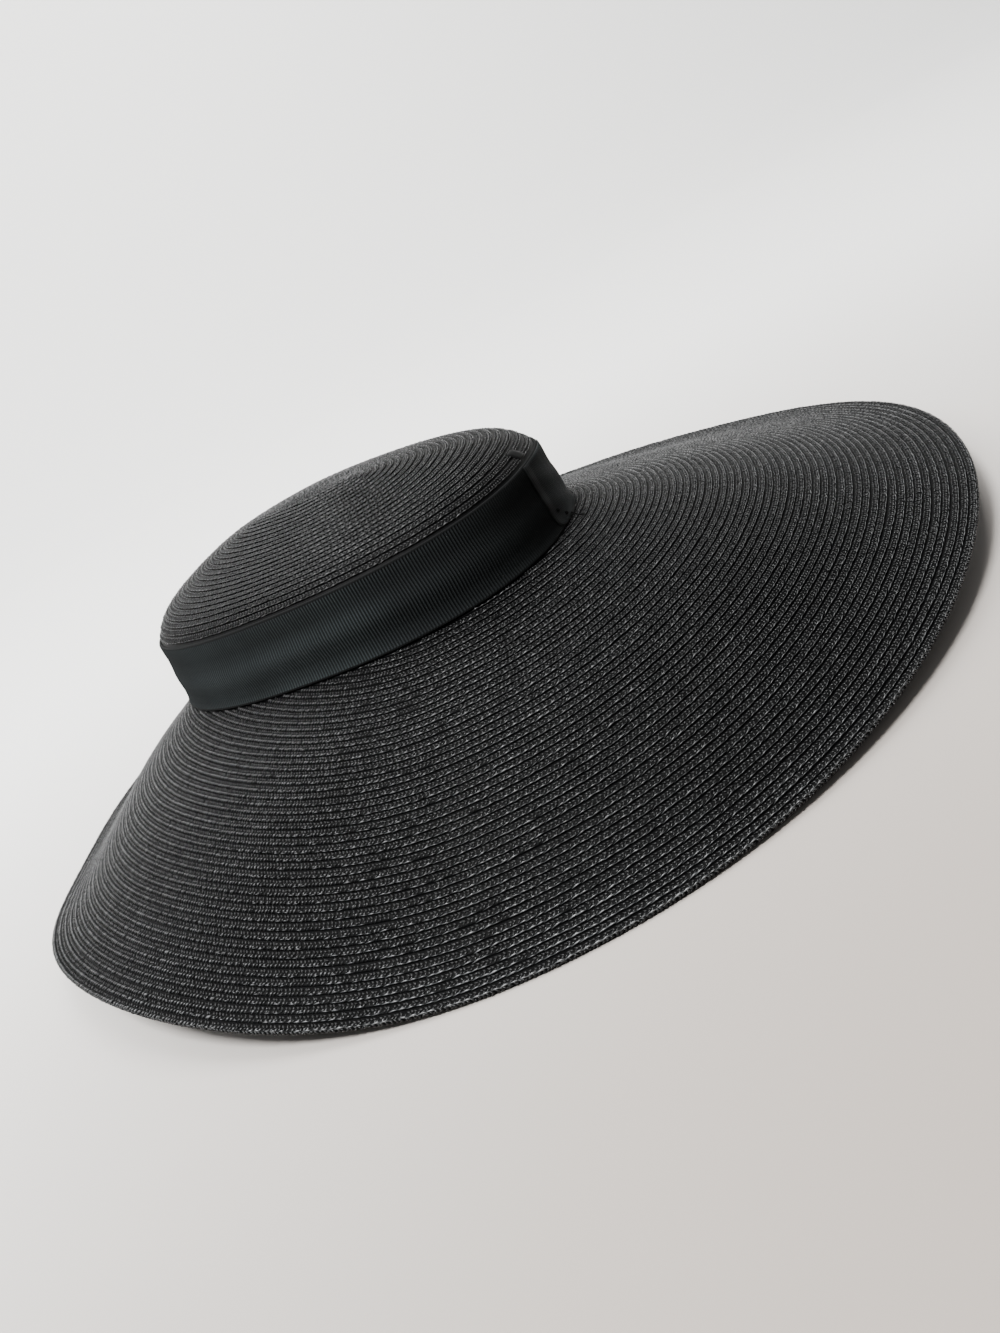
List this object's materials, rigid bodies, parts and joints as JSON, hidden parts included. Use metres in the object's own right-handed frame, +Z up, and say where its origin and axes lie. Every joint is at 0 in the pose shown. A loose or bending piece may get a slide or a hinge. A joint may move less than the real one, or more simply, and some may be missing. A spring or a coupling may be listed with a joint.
{
  "type": "wide-brimmed straw hat",
  "caption": "Black straw cartwheel hat: low oval crown set off the brim's centre, wide gently waving brim sewn in rows, and a ribbed ribbon round the crown.",
  "frame": {"origin": "centre of the brim's round edge, on the surface the hat rests on", "axes": "+Z up through the crown, +X towards the brim's wide side and the ribbon's lapped end, -Y towards the side the picture shows"},
  "size_m": [0.442, 0.442, 0.1056],
  "materials": {
    "straw_braid": "dyed straw braid with a dull sheen",
    "ribbon": "matte ribbed ribbon"
  },
  "bodies": {
    "root": {"crown": "straw_braid", "brim": "straw_braid", "ribbon_band": "ribbon", "ribbon_end": "ribbon"}
  },
  "joints": []
}
